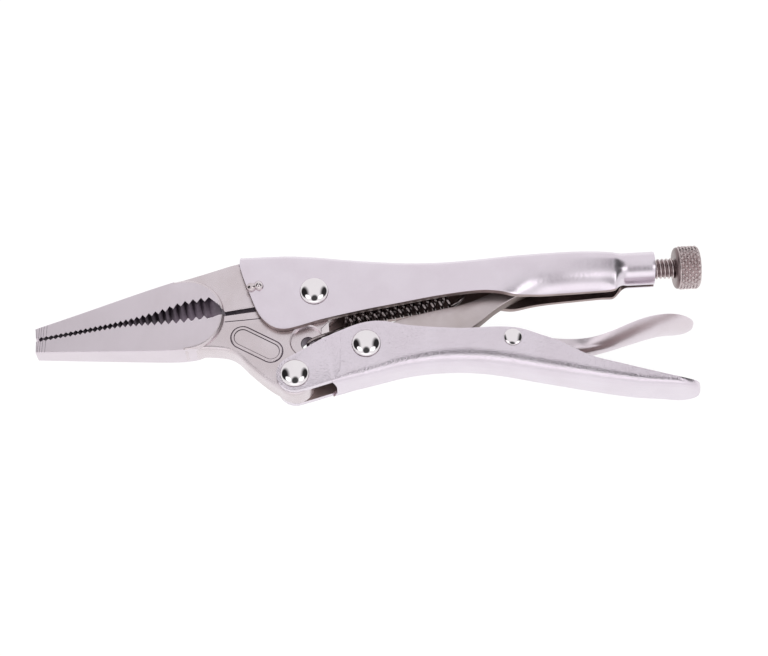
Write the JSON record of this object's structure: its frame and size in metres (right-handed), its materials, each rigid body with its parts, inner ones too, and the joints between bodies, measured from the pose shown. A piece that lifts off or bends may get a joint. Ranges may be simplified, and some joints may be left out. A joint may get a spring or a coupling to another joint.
{
  "type": "locking pliers",
  "caption": "Long-nose locking pliers with toothed jaws, a toggle link set by a knurled screw, a release lever and a return spring.",
  "frame": {"origin": "middle of the tool's outline, seen along the rivets, on the surface that it lies on", "axes": "+X along the tool from the nose to the knob, +Y from the lower handle to the upper one, +Z along the rivets"},
  "size_m": [0.2249, 0.0562, 0.0188],
  "materials": {
    "handle_nickel": "satin nickel plate on pressed sheet steel",
    "lever_nickel": "satin nickel plate on thin pressed steel",
    "link_nickel": "nickel plate on a sheared steel bar",
    "jaw_nickel": "matt nickel plate on forged steel with ground flats",
    "weld_nickel": "plated weld bead",
    "rivet_polish": "bright plated rivet heads",
    "screw_steel": "darker plated screw and knurled knob",
    "spring_steel": "black spring wire"
  },
  "bodies": {
    "frame": {"upper_handle": "handle_nickel", "fixed_jaw": "jaw_nickel", "jaw_weld": "weld_nickel", "jaw_pivot_rivet": "rivet_polish", "return_spring": "spring_steel"},
    "jaw": {"moving_jaw": "jaw_nickel"},
    "handle": {"lower_handle": "handle_nickel", "handle_pivot_rivet": "rivet_polish", "toggle_rivet": "rivet_polish", "lever_pin": "handle_nickel"},
    "link": {"toggle_link": "link_nickel"},
    "lever": {"release_lever": "lever_nickel"},
    "screw_slide": {"screw_core": "screw_steel"},
    "screw_turn": {"screw_thread": "screw_steel", "screw_knob": "screw_steel"}
  },
  "joints": [
    {"name": "jaw_hinge", "type": "hinge", "parent": "frame", "child": "jaw", "pos_m": [-0.019, 0.0085, 0.0094], "axis": [0, 0, 1], "range_deg": [0, 18], "deforming": ["return_spring"]},
    {"name": "handle_hinge", "type": "hinge", "parent": "jaw", "child": "handle", "pos_m": [-0.0249, -0.0215, 0.0094], "axis": [0, 0, 1], "range_deg": [-60.3, 0]},
    {"name": "link_hinge", "type": "hinge", "parent": "handle", "child": "link", "pos_m": [-0.0014, -0.0107, 0.0094], "axis": [0, 0, 1], "range_deg": [0, 61.2]},
    {"name": "lever_hinge", "type": "hinge", "parent": "handle", "child": "lever", "pos_m": [0.0473, -0.0087, 0.0094], "axis": [0, 0, 1], "range_deg": [-8, 0]},
    {"name": "screw_travel", "type": "slide", "parent": "frame", "child": "screw_slide", "axis": [0.9983, 0.0576, 0], "range_m": [0, 0.0084]},
    {"name": "knob_turn", "type": "hinge", "parent": "screw_slide", "child": "screw_turn", "pos_m": [0.0972, 0.0199, 0.0094], "axis": [0.9983, 0.0576, 0], "range_deg": [0, 2160]}
  ],
  "couplings": [
    {"joint": "handle_hinge", "follows": "jaw_hinge", "ratio": -3.35},
    {"joint": "link_hinge", "follows": "jaw_hinge", "ratio": 3.4},
    {"joint": "screw_travel", "follows": "knob_turn", "m_per_rad": 0.00022282}
  ]
}
